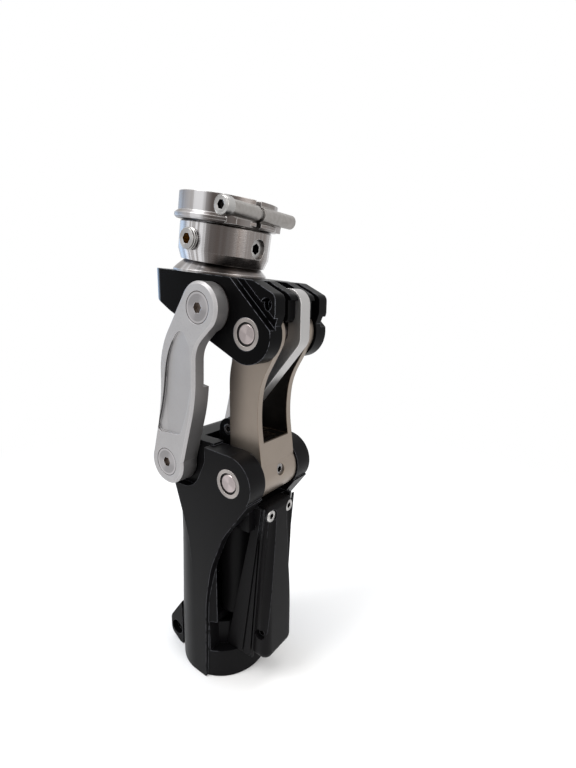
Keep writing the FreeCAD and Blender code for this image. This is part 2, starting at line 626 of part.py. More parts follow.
def head_blank():
    """Solid head before its inside is cut, with both upright front corners rounded."""
    low, high = UPPER_AXLE[1] - 2 * CHEEK_R, HEAD_TOP[1] + CHEEK_R
    plan = block((HEAD_FRONT, BEYOND), (-HEAD_HALF, HEAD_HALF), (low, high))
    corners = [e for e in plan.Edges if all(abs(v.Point.x - HEAD_FRONT) < RUN_GAP for v in e.Vertexes)
               and abs(e.Vertexes[0].Point.z - e.Vertexes[1].Point.z) > CHEEK_R]
    plan = plan.makeFillet(HEAD_CORNER_R, corners)
    side = prism_y(head_side(), -HEAD_HALF, HEAD_HALF)
    return joined(side.common(plan), rod_y(UPPER_AXLE, CHEEK_R, -HEAD_HALF, HEAD_HALF))


def head_cave():
    """Room inside the head for the rear link, below the top plate and between the cheeks."""
    ax, az = LINK_TOP
    inner = REAR_LINK_HALF + LOOSE_GAP
    wall_x, floor_z = ax + CAVE_WALL, az - CAVE_STEP
    return prism_y([(ax - 1, az - BEYOND), (ax - 1, floor_z), (wall_x, floor_z, 3),
                    (wall_x, head_top(wall_x) - HEAD_PLATE, 3), (BEYOND, head_top(BEYOND) - HEAD_PLATE),
                    (BEYOND, az - BEYOND)], -inner, inner)


def head_chassis():
    """Machined head: solid nose, two cheeks, and two fins that hold the strap's pin."""
    inner = REAR_LINK_HALF + LOOSE_GAP
    low, high = UPPER_AXLE[1] - 2 * CHEEK_R, HEAD_TOP[1] + CHEEK_R
    shape = head_blank().cut(head_cave().cut(fins()))
    strap_half = STRAP_HALF + SIDE_GAP
    strap_room = STRAP_REAR_X - STRAP_TOP[0] + 2 * LOOSE_GAP
    slots = block((FIN_FRONT_X + 3, BEYOND), (FIN_HALF, inner), (low, high))
    middle = block((FIN_FRONT_X - 0.5, BEYOND), (-strap_half, strap_half), (low, high))
    relief = rod_y(STRAP_TOP, strap_room, -strap_half, strap_half)
    shape = shape.cut([slots, mirrored(slots), middle, relief])
    shape = shape.cut(both_sides(cheek_pocket()))
    bores = [rod_y(UPPER_AXLE, BUSH_R + RUN_GAP / 2, -BEYOND, BEYOND),
             rod_y(LINK_TOP, BOLT_R + RUN_GAP, -BEYOND, BEYOND),
             rod_y(STRAP_TOP, STRAP_PIN_R + RUN_GAP / 2, -FIN_HALF - 1, FIN_HALF + 1),
             rod_y(STRAP_TOP, PIN_ACCESS_R, FIN_HALF, BEYOND),
             rod_y(CHEEK_HOLE, CHEEK_HOLE_R, -BEYOND, -HEAD_HALF + CHEEK_HOLE_DEPTH)]
    thread = tilted(Part.makeCylinder(SET_SCREW_R, 16, vec(0, 0, -12)))
    return shape.cut(bores).cut(thread).removeSplitter()


def fins():
    """Pair of inner fins hung from the top plate, clear of the rear link's bosses."""
    uz = UPPER_AXLE[1]
    high = HEAD_TOP[1] + CHEEK_R
    fin = prism_y([(FIN_FRONT_X, high), (FIN_FRONT_X, uz + 8.8), (FIN_FRONT_X + 4, uz + 5.3, 3),
                   (FIN_REAR_X, uz + 4.3, 2), (FIN_REAR_X, high)], STRAP_HALF + SIDE_GAP, FIN_HALF)
    fin = fin.cut(rod_y(UPPER_AXLE, REAR_BOSS_R + 2 * SIDE_GAP, 0, BEYOND))
    return both_sides(fin)


def cheek_pocket():
    """Groove along a diagonal line of one cheek, and the slightly sunk pad behind it."""
    (tx, tz), (bx, bz) = CHEEK_EDGE
    along = vec(bx - tx, 0, bz - tz).normalize()
    across = vec(-along.z, 0, along.x)
    top = vec(tx, 0, tz) - along * CHEEK_R
    foot = vec(bx, 0, bz) + along * CHEEK_R
    corners = [(p.x, p.z) for p in (top, foot, foot + across * BEYOND, top + across * BEYOND)]
    groove_corners = [(p.x, p.z) for p in (top, foot, foot + across * CHEEK_GROOVE, top + across * CHEEK_GROOVE)]
    pad = prism_y(corners, HEAD_HALF - CHEEK_PAD_SINK, HEAD_HALF + 1)
    groove = prism_y(groove_corners, HEAD_HALF - CHEEK_GROOVE, HEAD_HALF + 1)
    return pad.fuse(groove)


def dome_height(radius):
    """Height of the dome's surface over the head's top face at one distance from its axis."""
    return dome_centre() + math.sqrt(DOME_SPHERE_R ** 2 - radius ** 2)


def dome_centre():
    """Height of the dome's sphere centre for its rim to stand at the stated height."""
    return DOME_RIM - math.sqrt(DOME_SPHERE_R ** 2 - DOME_R ** 2)


def pyramid_dome():
    """Steel dome with the male pyramid, along its own axis from the head's top face."""
    ball = Part.makeSphere(DOME_SPHERE_R, vec(0, 0, dome_centre()))
    disc = Part.makeCylinder(DOME_R, 12, vec(0, 0, 0))
    dome = disc.common(ball)
    low, high = PYRAMID_Z
    foot, top = PYRAMID_NECK, PYRAMID_TOP
    neck = block((-foot, foot), (-foot, foot), (low - 6, low + 0.01))
    sections = [rect_wire((-half, half), (-half, half), z)
                for half, z in ((foot, low), (top, high - PYRAMID_CROWN), (top - PYRAMID_CROWN, high))]
    pyramid = Part.makeLoft(sections[:2], True)
    crown = Part.makeLoft(sections[1:], True)
    shape = joined(dome, neck, pyramid, crown)
    bolt_way = Part.makeCylinder(4.1, 40, vec(0, 0, -1))
    head_way = Part.makeCylinder(5.4, 20, vec(0, 0, high - 6.0))
    return shape.cut(bolt_way).cut(head_way)


def pyramid_bolt():
    """Socket screw down the middle of the pyramid into the head."""
    seat = vec(0, 0, PYRAMID_Z[1] - 6.0)
    head = Part.makeCylinder(5.2, 5.0, seat)
    shank = Part.makeCylinder(3.95, 24, seat - vec(0, 0, 24))
    return joined(head, shank).cut(hex_socket(5.0, 3.0, seat + vec(0, 0, 5.0), vec(0, 0, 1)))


def receiver_collar():
    """Turned steel receiver over the pyramid, with a neck for the socket clamp."""
    low, high = COLLAR_Z
    neck_top = RING_Z[1] - 1.0
    outline = [(COLLAR_BORE_R, low), (COLLAR_FOOT_R, low), (COLLAR_R, low + COLLAR_CONE),
               (COLLAR_R, high - 0.6), (COLLAR_R - 0.6, high), (NECK_R, high), (NECK_R, neck_top - 1),
               (NECK_R - 1, neck_top), (COLLAR_BORE_R - 3.2, neck_top), (COLLAR_BORE_R - 3.2, high),
               (COLLAR_BORE_R, high)]
    shape = turned(outline).cut(Part.makeSphere(DOME_SPHERE_R + RUN_GAP, vec(0, 0, dome_centre())))
    holes = []
    for k in range(4):
        a = k * math.pi / 2
        holes.append(Part.makeCylinder(SET_SCREW_R + RUN_GAP, COLLAR_R + 1, vec(0, 0, collar_screw_height()),
                                       vec(math.cos(a), math.sin(a), 0)))
    return shape.cut(holes)


def collar_screw_height():
    """Height of the screws' axes at which their full thread just clears the dome."""
    return dome_height(PYRAMID_TOP - SIDE_GAP) + SET_SCREW_R + RUN_GAP


def collar_screw(k, length):
    """One of the four screws that grip the pyramid; the tilted collar sets how far each is turned in."""
    a = k * math.pi / 2
    unit = vec(math.cos(a), math.sin(a), 0)
    low, high = PYRAMID_Z
    z = collar_screw_height()
    rise = (z + SET_SCREW_R / 2 - low) / (high - PYRAMID_CROWN - low)
    face = PYRAMID_NECK + (PYRAMID_TOP - PYRAMID_NECK) * rise
    shift = (z - dome_centre()) * math.sin(math.radians(ADAPTER_TILT))
    tip = unit * (face + SIDE_GAP - shift * unit.x) + vec(0, 0, z)
    return set_screw(tip, (unit.x, unit.y, 0), SET_SCREW_R, SET_HEX, length)


def clamp_ring():
    """Split ring of the socket anchor, with a foot flange and a barrel for its screw."""
    low, high = RING_Z
    outline = [(NECK_R + RUN_GAP, low), (RING_R, low), (RING_R + 0.8, low + 0.8), (RING_R + 0.8, low + 2.0),
               (RING_R - 0.6, low + 3.2), (RING_R - 0.6, high), (NECK_R + RUN_GAP, high)]
    ring = turned(outline)
    barrel = rod_y((BARREL_U, BARREL_W), BARREL_R, BARREL_Y[0], BARREL_Y[1])
    web = block((8, BARREL_U), (BARREL_Y[0] + 5, BARREL_Y[1] - 6), (low, BARREL_W))
    shape = joined(ring, barrel.fuse(web).cut(rod_z(0, 0, NECK_R + RUN_GAP, 0, BEYOND)))
    slit = block((0, BEYOND), (RING_SLIT_Y - SLIT / 2, RING_SLIT_Y + SLIT / 2), (low - 1, high + 2))
    way = rod_y((BARREL_U, BARREL_W), M4_R + RUN_GAP, BARREL_Y[0] - 1, BARREL_Y[1] - 3)
    return shape.cut([slit, way]).removeSplitter()


def ring_screw():
    seat = vec(BARREL_U, BARREL_Y[0], BARREL_W)
    return cap_screw(seat, (0, -1, 0), M4_R, M4_HEAD_R, BARREL_Y[1] - BARREL_Y[0] - 4)


def piston():
    x0 = STRAP_FOOT[0]
    groove = (CYL_BORE_R - RUN_GAP - 1.6, PISTON_Z - PISTON / 2 - 1.2, PISTON_Z - PISTON / 2 + 1.2)
    body = rod_z(x0, 0, CYL_BORE_R - RUN_GAP, PISTON_Z - PISTON, PISTON_Z)
    ring = rod_z(x0, 0, 20, groove[1], groove[2]).cut(rod_z(x0, 0, groove[0], 0, 100))
    return body.cut(ring).cut(rod_z(x0, 0, PISTON_ROD_R, 0, 100))


def piston_ring():
    x0 = STRAP_FOOT[0]
    z0 = PISTON_Z - PISTON / 2
    outer = rod_z(x0, 0, CYL_BORE_R - RUN_GAP / 2, z0 - 1.15, z0 + 1.15)
    return outer.cut(rod_z(x0, 0, CYL_BORE_R - RUN_GAP - 1.55, 0, 100))


def rod_seal():
    x0 = STRAP_FOOT[0]
    outer = rod_z(x0, 0, PISTON_ROD_R + 1.55, GLAND_TOP - 1.35, GLAND_TOP - 0.05)
    return outer.cut(rod_z(x0, 0, PISTON_ROD_R + RUN_GAP, 0, 100))


def tilted(shape, extra=0.0):
    """Shape set on the head's sloping top, and turned a little further about the dome's centre."""
    shape = shape.copy()
    seat = FreeCAD.Placement(vec(HEAD_TOP[0], 0, HEAD_TOP[1]), FreeCAD.Rotation(vec(0, 1, 0), HEAD_TILT))
    turn = FreeCAD.Placement(vec(0, 0, 0), FreeCAD.Rotation(vec(0, 1, 0), extra), vec(0, 0, dome_centre()))
    shape.Placement = seat.multiply(turn).multiply(shape.Placement)
    return shape


def lower_parts():
    """Everything that stays with the shank."""
    lx, lz = LOWER_AXLE
    inner = REAR_LINK_HALF + LOOSE_GAP
    bush = ear_bush(LOWER_AXLE, inner, FRAME_HALF)
    seat_y = -LUG_HALF + LUG_SCREW_SINK + 2 * M4_R
    tube_screw = cap_screw(vec(LUG_X, seat_y, LUG_Z), (0, -1, 0), M4_R, M4_HEAD_R, LUG_HALF - seat_y - 1)
    sleeve = ring_y(LINK_FOOT, BOSS_BORE_R - RUN_GAP / 2, BOLT_R, -FRAME_FRONT_HALF, FRAME_FRONT_HALF)
    valve = set_screw(vec(VALVE_X, VALVE_INNER + SIDE_GAP, VALVE_Z), (0, 1, 0), M5_R, SMALL_HEX,
                      BLOCK_HALF - BLOCK_PLATE - VALVE_INNER - 2)
    parts = {
        "shank_frame": shank_frame(),
        "tube_clamp_screw": tube_screw,
        "lower_bush_far": bush,
        "lower_bush_near": mirrored(bush),
        "barrel_sleeve": sleeve,
        "hydraulic_body": hydraulic_body(),
        "cylinder_gland": gland(),
        "rod_seal": rod_seal(),
        "flexion_valve": valve,
        "extension_valve": mirrored(valve),
    }
    for name, side in (("near", -1), ("far", 1)):
        seat = vec(BLOCK_REAR_X - BLOCK_SCREW_SINK, side * BLOCK_SCREW_Y, BLOCK_SCREW_Z)
        parts["block_screw_" + name] = cap_screw(seat, (1, 0, 0), M3_R, M3_HEAD_R, 9.0)
    return parts


def moving_parts():
    """Rear link, front links, strap and piston rod with what rides on each."""
    (lx, lz), (fx, fz) = LOWER_AXLE, STRAP_FOOT
    link = front_link()
    foot_bolt = countersunk_bolt(LINK_FOOT, LINK_PAD_INNER)
    top_bolt = countersunk_bolt(LINK_TOP, REAR_LINK_HALF + LOOSE_GAP + 0.2)
    bushes = [ring_y(c, LINK_BUSH_R, BOLT_R + 2 * RUN_GAP, y, y + LINK_BUSH)
              for c, y in ((LINK_TOP, LINK_EYE_INNER), (LINK_FOOT, LINK_PAD_INNER))]
    washer = ring_y(LINK_TOP, LINK_EYE_R - 0.3, BOLT_R + 2 * RUN_GAP, HEAD_HALF, LINK_EYE_INNER - 0.02)
    foot_washer = ring_y(LINK_FOOT, LINK_EYE_R - 0.9, BOLT_R + 2 * RUN_GAP, FRAME_FRONT_HALF + 0.02, LINK_PAD_INNER)
    fork_foot = fz - FORK_BASE - FORK_FOOT
    rod = rod_z(fx, 0, PISTON_ROD_R, PISTON_Z - PISTON, fork_foot)
    parts = {
        "rear_link": rear_link(),
        "lower_axle": axle(LOWER_AXLE, FRAME_HALF - 0.3),
        "upper_axle": axle(UPPER_AXLE, HEAD_HALF - 0.3),
        "axle_lock_screw": set_screw(vec(lx + AXLE_R + 2 * RUN_GAP, 0, lz + LOCK_SCREW_UP), (1, 0, 0), M5_R,
                                     SMALL_HEX, 6.4),
        "connecting_strap": connecting_strap(),
        "rod_fork": rod_fork(),
        "piston_rod": rod,
        "piston": piston(),
        "piston_ring": piston_ring(),
    }
    near_far = {"link": link, "foot_bolt": foot_bolt, "top_bolt": top_bolt, "top_bush": bushes[0],
                "foot_bush": bushes[1], "top_washer": washer, "foot_washer": foot_washer}
    for name, shape in near_far.items():
        parts["front_" + name + "_far"] = shape
        parts["front_" + name + "_near"] = mirrored(shape)
    screw = fork_screw()
    parts["fork_screw_far"] = screw
    parts["fork_screw_near"] = mirrored(screw)
    return parts


def upper_parts():
    """Everything that stays with the thigh side."""
    bush = ear_bush(UPPER_AXLE, REAR_LINK_HALF + LOOSE_GAP, HEAD_HALF)
    parts = {
        "head_chassis": head_chassis(),
        "upper_bush_far": bush,
        "upper_bush_near": mirrored(bush),
        "strap_pin": pin_y(STRAP_TOP, STRAP_PIN_R, FIN_HALF),
        "pyramid_dome": tilted(pyramid_dome()),
        "pyramid_bolt": tilted(pyramid_bolt()),
        "receiver_collar": tilted(receiver_collar(), ADAPTER_TILT),
        "socket_clamp_ring": tilted(clamp_ring(), ADAPTER_TILT),
        "socket_clamp_screw": tilted(ring_screw(), ADAPTER_TILT),
    }
    for k, (name, longer) in enumerate((("rear", 0.0), ("far", 0.0), ("front", 0.0), ("near", 2.0))):
        parts["collar_screw_" + name] = tilted(collar_screw(k, COLLAR_SCREW + longer), ADAPTER_TILT)
    return parts


def main():
    os.makedirs("parts", exist_ok=True)
    parts = {}
    parts.update(lower_parts())
    parts.update(moving_parts())
    parts.update(upper_parts())
    for name, shape in parts.items():
        shape.exportStep(os.path.join("parts", name + ".step"))
    print(len(parts), "nodes")


main()
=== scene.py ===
import json
import math

import bpy
from mathutils import Matrix, Vector


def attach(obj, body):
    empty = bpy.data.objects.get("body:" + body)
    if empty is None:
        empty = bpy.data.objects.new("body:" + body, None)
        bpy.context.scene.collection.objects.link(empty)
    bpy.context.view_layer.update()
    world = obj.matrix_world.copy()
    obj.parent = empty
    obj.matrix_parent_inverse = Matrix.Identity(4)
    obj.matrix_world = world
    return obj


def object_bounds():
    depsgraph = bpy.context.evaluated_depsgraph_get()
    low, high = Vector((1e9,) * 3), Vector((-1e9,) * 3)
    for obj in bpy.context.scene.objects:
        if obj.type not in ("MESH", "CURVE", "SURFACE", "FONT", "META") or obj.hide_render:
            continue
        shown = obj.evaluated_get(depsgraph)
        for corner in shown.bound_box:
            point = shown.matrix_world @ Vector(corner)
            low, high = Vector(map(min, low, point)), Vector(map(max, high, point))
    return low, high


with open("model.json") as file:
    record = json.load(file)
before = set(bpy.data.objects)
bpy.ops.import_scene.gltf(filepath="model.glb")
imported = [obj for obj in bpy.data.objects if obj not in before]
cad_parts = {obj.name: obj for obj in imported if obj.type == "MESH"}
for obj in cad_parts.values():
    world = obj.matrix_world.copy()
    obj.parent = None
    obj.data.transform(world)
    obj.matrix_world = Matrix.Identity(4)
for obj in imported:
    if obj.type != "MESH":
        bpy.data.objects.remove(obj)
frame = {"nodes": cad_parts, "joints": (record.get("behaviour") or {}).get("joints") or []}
cad_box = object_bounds()
nodes = frame["nodes"]

# Camera
# A phone held level with the knee's head, behind and to one side of it, looking slightly
# down. The place, angles and lens come from the ellipses of the pivots in the photograph.
CAMERA_PLACE = (0.1382, -0.1379, 0.1801)
CAMERA_AZIMUTH = math.radians(35.89)
CAMERA_DROP = math.radians(11.36)
CAMERA_ROLL = math.radians(0.85)
SENSOR = 36.0
LENS = 19.53
NEAREST_SEEN = 0.005

sight = Vector((-math.sin(CAMERA_AZIMUTH) * math.cos(CAMERA_DROP),
                math.cos(CAMERA_AZIMUTH) * math.cos(CAMERA_DROP),
                -math.sin(CAMERA_DROP)))
level = Vector((math.cos(CAMERA_AZIMUTH), math.sin(CAMERA_AZIMUTH), 0))
upright = level.cross(sight)
right = level * math.cos(CAMERA_ROLL) + upright * math.sin(CAMERA_ROLL)
top = upright * math.cos(CAMERA_ROLL) - level * math.sin(CAMERA_ROLL)
camera_turn = Matrix((right, top, -sight)).transposed().to_4x4()
camera_data = bpy.data.cameras.new("camera")
camera_data.sensor_width = SENSOR
camera_data.lens = LENS
camera_data.clip_start = NEAREST_SEEN
camera = bpy.data.objects.new("camera", camera_data)
camera.matrix_world = Matrix.Translation(CAMERA_PLACE) @ camera_turn
bpy.context.scene.collection.objects.link(camera)
bpy.context.scene.camera = camera
bpy.context.scene.view_settings.view_transform = "Standard"


# Floor, room and lamps
# A pale floor in an even white room. A broad lamp stands on the camera's left, a smaller
# one behind on the right, a long one hangs overhead, and a bluish window is ahead of the knee.
class Wire:
    """One value in a shader. Arithmetic on it adds the Math nodes."""

    def __init__(self, finish, socket):
        self.finish = finish
        self.socket = socket

    def math(self, operation, *values):
        return self.finish.node("Math", {"operation": operation}, dict(enumerate((self, *values))))

    def __add__(self, other):
        return self.math("ADD", other)

    def __sub__(self, other):
        return self.math("SUBTRACT", other)

    def __rsub__(self, other):
        return self.finish.node("Math", {"operation": "SUBTRACT"}, {0: other, 1: self})

    def __mul__(self, other):
        return self.math("MULTIPLY", other)

    __radd__ = __add__
    __rmul__ = __mul__

    def size(self):
        return self.math("ABSOLUTE")

    def either(self, other):
        """The larger of two masks."""
        return self.math("MAXIMUM", other)

    def over(self, limit, width):
        """0 below the limit and 1 above it, over a soft step of the given width."""
        return self.finish.node("MapRange", {"interpolation_type": "SMOOTHSTEP"},
                                {"Value": self, "From Min": limit - width / 2,
                                 "From Max": limit + width / 2})

    def under(self, limit, width):
        return 1 - self.over(limit, width)


class Finish:
    """A surface's node tree: any node comes from node(), and shade() ends it."""

    def __init__(self, name, world=False):
        self.owner = bpy.data.worlds.new(name) if world else bpy.data.materials.new(name)
        self.owner.use_nodes = True
        self.tree = self.owner.node_tree
        self.tree.nodes.clear()

    def node(self, kind, settings=None, sockets=None, output=0):
        """Adds a node: settings first, then the values or links of its sockets."""
        node = self.tree.nodes.new("ShaderNode" + kind)
        for name, value in (settings or {}).items():
            setattr(node, name, value)
        for name, value in (sockets or {}).items():
            if isinstance(value, Wire):
                self.tree.links.new(value.socket, node.inputs[name])
            else:
                node.inputs[name].default_value = value
        return Wire(self, node.outputs[output]) if node.outputs else None

    def vectors(self, operation, *values, output=0):
        """Vector Math. Its output 1 is the plain number that a length or a dot product gives."""
        return self.node("VectorMath", {"operation": operation}, dict(enumerate(values)), output)

    def blend(self, factor, first, second):
        """Colour between two colours by a factor."""
        return self.node("Mix", {"data_type": "RGBA"}, {0: factor, 6: first, 7: second}, output=2)

    def shade(self, **sockets):
        """Ends the tree with the main shader, whose sockets are named in small letters."""
        names = {name.replace("_", " ").title().replace("Ior", "IOR"): value
                 for name, value in sockets.items()}
        shader = self.node("BsdfPrincipled", {}, names)
        self.node("OutputMaterial", {}, {"Surface": shader})
        return self.owner


WHITE = (1, 1, 1, 1)
ROOM_LIGHT = 0.62
FLOOR_HALF = 6.0
FLOOR_GAP = 0.0004
FLOOR_COLOUR = (0.93, 0.93, 0.93, 1)
FLOOR_ROUGH = 0.9
FLOOR_MIRROR = 0.1
FLOOR_FADE = 0.26
FLOOR_FADE_WIDTH = 0.30
RAY_OUTPUTS = {"camera": 0, "glossy": 3, "transmission": 6}
LAMP_TARGET = Vector((0.01, 0, 0.12))
LAMPS = (
    ("key_lamp", (-0.30, -0.70, 0.95), 0.55, 0.55, 7.0, (1, 1, 1)),
    ("rear_lamp", (0.85, -0.10, 0.45), 0.35, 0.60, 3.5, (1, 0.97, 0.94)),
    ("overhead_lamp", (0.05, 0.05, 0.95), 0.40, 0.90, 3.5, (1, 1, 1)),
    ("window_lamp", (-0.80, 0.0, 0.20), 0.50, 0.45, 1.3, (0.34, 0.62, 1.0)),
)


def rays(finish, *kinds):
    """1 for rays of the given kinds and 0 for the rest."""
    found = [finish.node("LightPath", output=RAY_OUTPUTS[kind]) for kind in kinds]
    return sum(found[1:], found[0])


room = Finish("white_room", world=True)
strength = rays(room, "camera", "glossy", "transmission") * (1 - ROOM_LIGHT) + ROOM_LIGHT
background = room.node("Background", {}, {"Color": WHITE, "Strength": strength})
room.node("OutputWorld", {}, {"Surface": background})
bpy.context.scene.world = room.owner

floor_mesh = bpy.data.meshes.new("floor")
corners = [(FLOOR_HALF * x, FLOOR_HALF * y, 0) for x, y in ((-1, -1), (1, -1), (1, 1), (-1, 1))]
floor_mesh.from_pydata(corners, [], [(0, 1, 2, 3)])
floor = bpy.data.objects.new("floor", floor_mesh)
floor.location.z = cad_box[0][2] - FLOOR_GAP
bpy.context.scene.collection.objects.link(floor)
paper = Finish("floor_paper")
reach = paper.vectors("LENGTH", paper.node("TexCoord", output=3), output=1)
far_off = reach.over(FLOOR_FADE, FLOOR_FADE_WIDTH) * rays(paper, "camera", "glossy")
card = paper.node("BsdfPrincipled", {}, {"Base Color": FLOOR_COLOUR, "Roughness": FLOOR_ROUGH,
                                         "Specular IOR Level": FLOOR_MIRROR})
glow = paper.node("Emission", {}, {"Color": WHITE, "Strength": 1.0})
faded = paper.node("MixShader", {}, {0: far_off, 1: card, 2: glow})
paper.node("OutputMaterial", {}, {"Surface": faded})
floor_mesh.materials.append(paper.owner)

for name, place, width, height, power, tone in LAMPS:
    lamp_data = bpy.data.lights.new(name, "AREA")
    lamp_data.shape = "RECTANGLE"
    lamp_data.size = width
    lamp_data.size_y = height
    lamp_data.energy = power
    lamp_data.color = tone
    lamp = bpy.data.objects.new(name, lamp_data)
    lamp.location = place
    lamp.rotation_euler = (LAMP_TARGET - Vector(place)).to_track_quat("-Z", "Y").to_euler()
    bpy.context.scene.collection.objects.link(lamp)


# Shank frame and head chassis
# Milled from solid aluminium bar and hard anodised black, even and satin. Painted highlight and
# some wear brighten the edges, cutter marks show faintly, and the head's front corners have a
# painted reflection.
BLACK = (0.0022, 0.0021, 0.0024, 1)
BLACK_EDGE = (0.085, 0.088, 0.098, 1)
BLACK_MIRROR = 0.065
BLACK_CLOUD = 1.6
HEAD_BLACK = 0.5
HEAD_EDGE = 1.8
HEAD_MIRROR = 0.035
NOSE_REFLECTION_COLOUR = (0.078, 0.088, 0.102, 1)
NOSE_REFLECTION_METAL = 0.9
NOSE_START = -17.7
NOSE_TURN = 0.35
FRAME_SIDE = 17.8
FRAME_FRONT = -12.0
EAR_FOOT = 90.0
HEAD_CHEEK = 13.0
HEAD_SHOULDER = 182.0
EDGE_ROUND = 0.00035
EDGE_TURN = 0.965
EDGE_TURN_WIDTH = 0.065
BEVEL_SAMPLES = 6
GLINT_WEAR_SIZE = 2.6
GLINT_WEAR_SHARE = 0.42
CLOUD_SIZE = 14.0
GRAIN_SIZE = 0.35
CUTTER_DEPTH = 0.000005


def toned(colour, factor):
    """The same colour, lighter or darker."""
    return tuple(min(1.0, factor * c) for c in colour[:3]) + (1,)


def edge_mask(finish, radius):
    """Normal rounded over a radius, and how near a point lies to an edge."""
    rounded = finish.node("Bevel", {"samples": BEVEL_SAMPLES}, {"Radius": radius})
    plain = finish.node("NewGeometry", output=1)
    turn = finish.vectors("DOT_PRODUCT", rounded, plain, output=1)
    return rounded, turn.under(EDGE_TURN, EDGE_TURN_WIDTH)


def place_of(finish):
    """Point on the piece in millimetres, fixed to the piece."""
    here = finish.node("TexCoord", output=3)
    return finish.node("VectorMath", {"operation": "SCALE"}, {0: here, "Scale": 1000.0})


def parts_of(finish, vector):
    """The three components of a vector."""
    split = finish.node("SeparateXYZ", {}, {0: vector}).socket.node
    return [Wire(finish, output) for output in split.outputs]


def facing_of(finish):
    """The components of the surface's normal, fixed to the piece."""
    return parts_of(finish, finish.node("TexCoord", output=1))


def noise(finish, where, size, detail=2.0):
    """Soft blotches about as wide as size in millimetres."""
    return finish.node("TexNoise", {}, {"Vector": where, "Scale": 1.0 / size, "Detail": detail})


def brush_marks(finish, where, lay):
    """Fine lines; lay says how many blotches fit in a millimetre along x, y and z."""
    return noise(finish, finish.vectors("MULTIPLY", where, lay), size=1.0, detail=3.0)


def patchy(finish, mask, colour, darkest, lightest):
    """A colour that runs from a darker to a lighter tone with a mask."""
    return finish.blend(mask, toned(colour, darkest), toned(colour, lightest))


def bumped(finish, height, depth, normal):
    """Normal with small heights added; depth is what a height of 1 stands for, in metres."""
    return finish.node("Bump", {}, {"Height": height, "Distance": depth, "Strength": 1.0,
                                    "Normal": normal})


def dress(finish, *names):
    """Puts a finish on carried CAD nodes."""
    for name in names:
        slots = nodes[name].data.materials
        slots.clear()
        slots.append(finish)


def anodised(name, colour, edge_colour, mirror, rough, lay, glint_and_wear_zone, nose=None):
    """Black anodising with a painted edge highlight and some wear in the chosen zone, and a painted
    bluish reflection where nose() says.
    """
    finish = Finish(name)
    where = place_of(finish)
    place = parts_of(finish, where)
    rounded, edge = edge_mask(finish, EDGE_ROUND)
    cloud = noise(finish, where, CLOUD_SIZE)
    grain = noise(finish, where, GRAIN_SIZE, detail=3.0)
    marks = brush_marks(finish, where, lay)
    glint_and_wear = noise(finish, where, GLINT_WEAR_SIZE).over(GLINT_WEAR_SHARE, width=0.20)
    tint = patchy(finish, cloud, colour, darkest=1, lightest=BLACK_CLOUD)
    # Bright edge lines: a painted highlight with some wear, in the zone picked above.
    tint = finish.blend(edge * glint_and_wear * glint_and_wear_zone(*place), tint, edge_colour)
    looks = {"roughness": cloud * 0.10 + grain * 0.05 + marks * 0.06 - edge * 0.10 + rough,
             "normal": bumped(finish, marks * 0.5 + grain, CUTTER_DEPTH, rounded),
             "specular_ior_level": mirror}
    if nose:
        # Painted bluish reflection of the window on the head's front corners, as a tint and as
        # metal.
        nose_reflection = nose(*place) * facing_of(finish)[1].size().over(NOSE_TURN, width=0.2)
        tint = finish.blend(nose_reflection, tint, NOSE_REFLECTION_COLOUR)
        looks["metallic"] = nose_reflection * NOSE_REFLECTION_METAL
    return finish.shade(base_color=tint, **looks)


# The frame's zone for the painted edge highlight and wear.
def frame_outside(x, y, z):
    """Its two sides, its front and all of its ears."""
    ears = z.over(EAR_FOOT, width=3.0)
    return y.size().over(FRAME_SIDE, width=0.4).either(ears).either(x.under(FRAME_FRONT, width=1.0))


# The head's zone for the painted edge highlight and wear.
def head_outside(x, y, z):
    """The cheeks' outer faces and the top plate."""
    return y.size().over(HEAD_CHEEK, width=1.0).either(z.over(HEAD_SHOULDER, width=2.0))


# Where the painted bluish reflection goes.
def head_nose(x, y, z):
    """Ahead of where the front corners begin to turn."""
    return x.under(NOSE_START, width=0.8)


dress(anodised("black_anodising", BLACK, BLACK_EDGE, BLACK_MIRROR, rough=0.27,
               lay=(3.0, 3.0, 0.25), glint_and_wear_zone=frame_outside),
      "shank_frame")
dress(anodised("head_anodising", toned(BLACK, HEAD_BLACK), toned(BLACK_EDGE, HEAD_EDGE),
               HEAD_MIRROR, rough=0.22, lay=(0.25, 3.0, 3.0), glint_and_wear_zone=head_outside, nose=head_nose),
      "head_chassis")


# Hydraulic unit
# Cylinder and wedge-shaped valve block, machined in one piece and anodised a little duller
# than the frame. The gland nut and the rod's fork have the same finish.
BLOCK_BLACK = (0.0030, 0.0028, 0.0031, 1)
BLOCK_TOP = 80.0
BLOCK_REAR = 34.6
BLOCK_GLINT_WEAR = 0.6


# The block's zone for the painted edge highlight and wear, at a lower share.
def block_outside(x, y, z):
    """The block's head and its rear face."""
    return z.over(BLOCK_TOP, width=6.0).either(x.over(BLOCK_REAR, width=0.5)) * BLOCK_GLINT_WEAR


dress(anodised("block_anodising", BLOCK_BLACK, BLACK_EDGE, BLACK_MIRROR, rough=0.34,
               lay=(3.0, 3.0, 0.2), glint_and_wear_zone=block_outside),
      "hydraulic_body", "cylinder_gland", "rod_fork")


# Front links
# Milled aluminium, bead blasted and clear anodised to an even silver grey. The sunk panel is a
# shade darker;
# the sides get painted shade, the panel's front wall a painted shadow line, and the edges a painted
# highlight.
SILVER = (0.400, 0.390, 0.393, 1)
SILVER_METAL = 0.85
SILVER_ROUGH = 0.40
LINK_OUTSIDE = cad_box[1][1] * 1000.0
LIT_RIM = 0.85
PANEL_RIM = 0.95
PANEL_LEAN = 0.035
PANEL_FACING = 0.985
WALL_FACING = 0.80
SIDE_FACING = 0.5
BEAD_SIZE = 0.22
SPECK_SIZE = 0.6
SILVER_CLOUD_SIZE = 9.0
BLASTED_DEPTH = 0.000010


def laid_on(finish, tint, mask, share, colour):
    """Lays a colour over a tint where the mask is 1, at a share of its full strength."""
    return finish.blend(mask * share, tint, colour)


